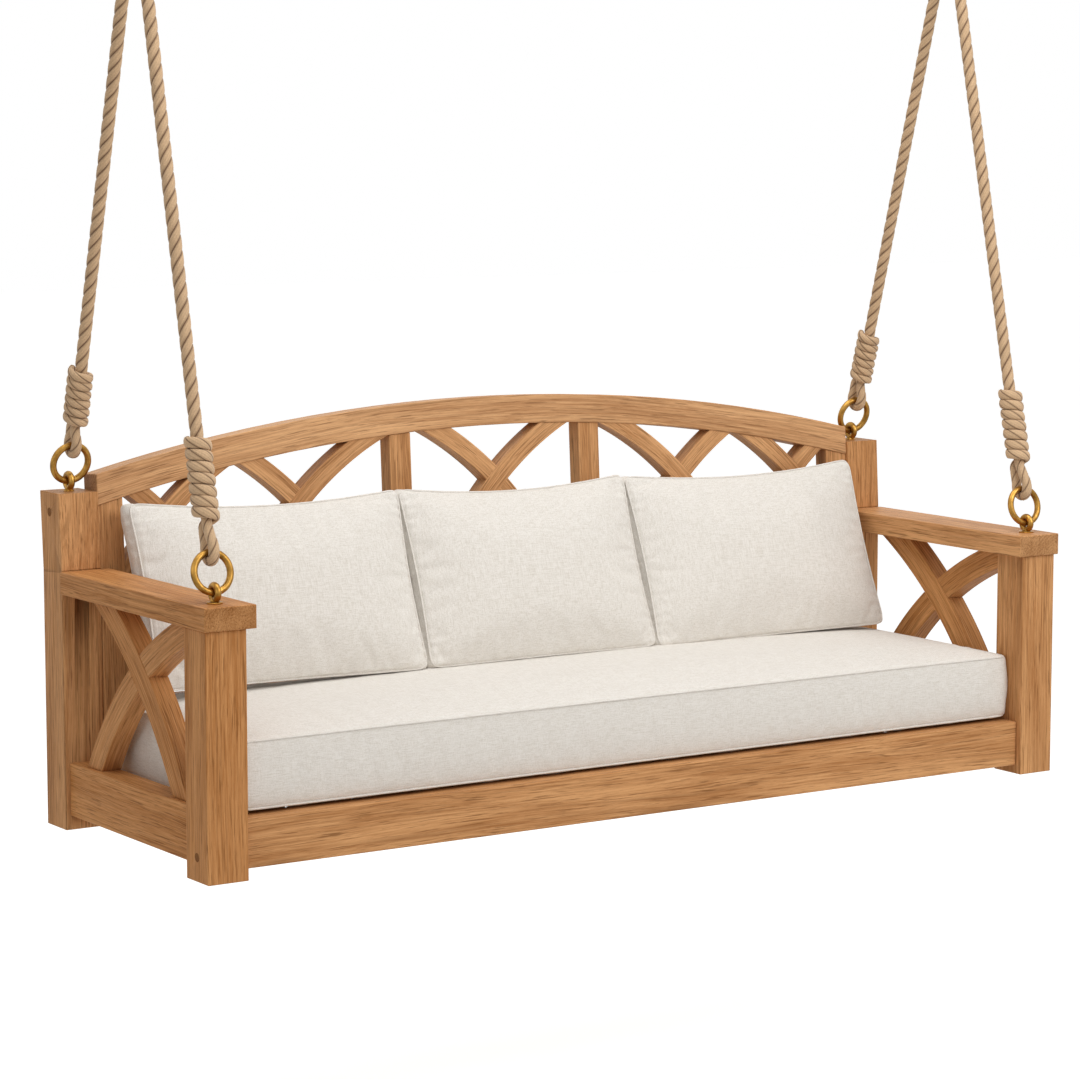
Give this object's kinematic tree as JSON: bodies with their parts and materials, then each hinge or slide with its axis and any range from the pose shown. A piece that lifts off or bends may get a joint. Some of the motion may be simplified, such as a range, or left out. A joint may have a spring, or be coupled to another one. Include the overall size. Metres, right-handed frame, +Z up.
{
  "type": "hanging swing bed",
  "caption": "Hardwood daybed with an arched, cross-braced back and curved arm braces, loose cushions, hung on looped ropes that swing fore and aft from ceiling hangers.",
  "frame": {"origin": "in the ceiling plane, midway between the two hangers, over the line of their pins", "axes": "+X to the right as one faces the bed's front, +Y to its back, +Z up"},
  "size_m": [2.11, 0.7177, 2.0382],
  "materials": {
    "hardwood": "oiled, planed and sanded",
    "deck_wood": "oiled, planed",
    "plug_wood": "end grain, sanded flush",
    "linen": "plain woven cover over foam and fibre",
    "rope": "three-strand laid rope",
    "brass": "antiqued",
    "steel": "zinc plated"
  },
  "bodies": {
    "ceiling_hangers": {"hangers": "steel", "hanger_pins": "steel"},
    "swing_bed": {"post_front_left": "hardwood", "post_front_right": "hardwood", "post_back_left": "hardwood", "post_back_right": "hardwood", "front_rail": "hardwood", "back_rail": "hardwood", "side_rail_left": "hardwood", "side_rail_right": "hardwood", "arm_left": "hardwood", "arm_right": "hardwood", "arm_brace_rising_left": "hardwood", "arm_brace_falling_left": "hardwood", "arm_brace_rising_right": "hardwood", "arm_brace_falling_right": "hardwood", "arch_rail": "hardwood", "low_rail": "hardwood", "mid_rails": "hardwood", "stile_left": "hardwood", "stile_right": "hardwood", "back_slat_left": "hardwood", "back_slat_right": "hardwood", "cross_outer_left_rising": "hardwood", "cross_outer_left_falling": "hardwood", "cross_inner_left_rising": "hardwood", "cross_inner_left_falling": "hardwood", "cross_middle_rising": "hardwood", "cross_middle_falling": "hardwood", "cross_inner_right_rising": "hardwood", "cross_inner_right_falling": "hardwood", "cross_outer_right_rising": "hardwood", "cross_outer_right_falling": "hardwood", "seat_slats": "deck_wood", "ledgers": "deck_wood", "joists": "deck_wood", "dowels": "deck_wood", "plugs": "plug_wood", "barrel_nuts": "steel", "seat_cushion": "linen", "back_cushion_left": "linen", "back_cushion_middle": "linen", "back_cushion_right": "linen", "eye_bolt_front_left": "brass", "eye_bolt_front_right": "brass", "eye_bolt_back_left": "brass", "eye_bolt_back_right": "brass", "ring_front_left": "brass", "ring_front_right": "brass", "ring_back_left": "brass", "ring_back_right": "brass", "knot_front_left": "rope", "knot_front_right": "rope", "knot_back_left": "rope", "knot_back_right": "rope", "rope_left": "rope", "rope_right": "rope", "top_rings": "brass", "ferrules": "brass", "links": "steel"}
  },
  "joints": [
    {"name": "swing", "type": "hinge", "parent": "ceiling_hangers", "child": "swing_bed", "pos_m": [0, 0, -0.036], "axis": [1, 0, 0], "range_deg": [-20, 20]}
  ]
}
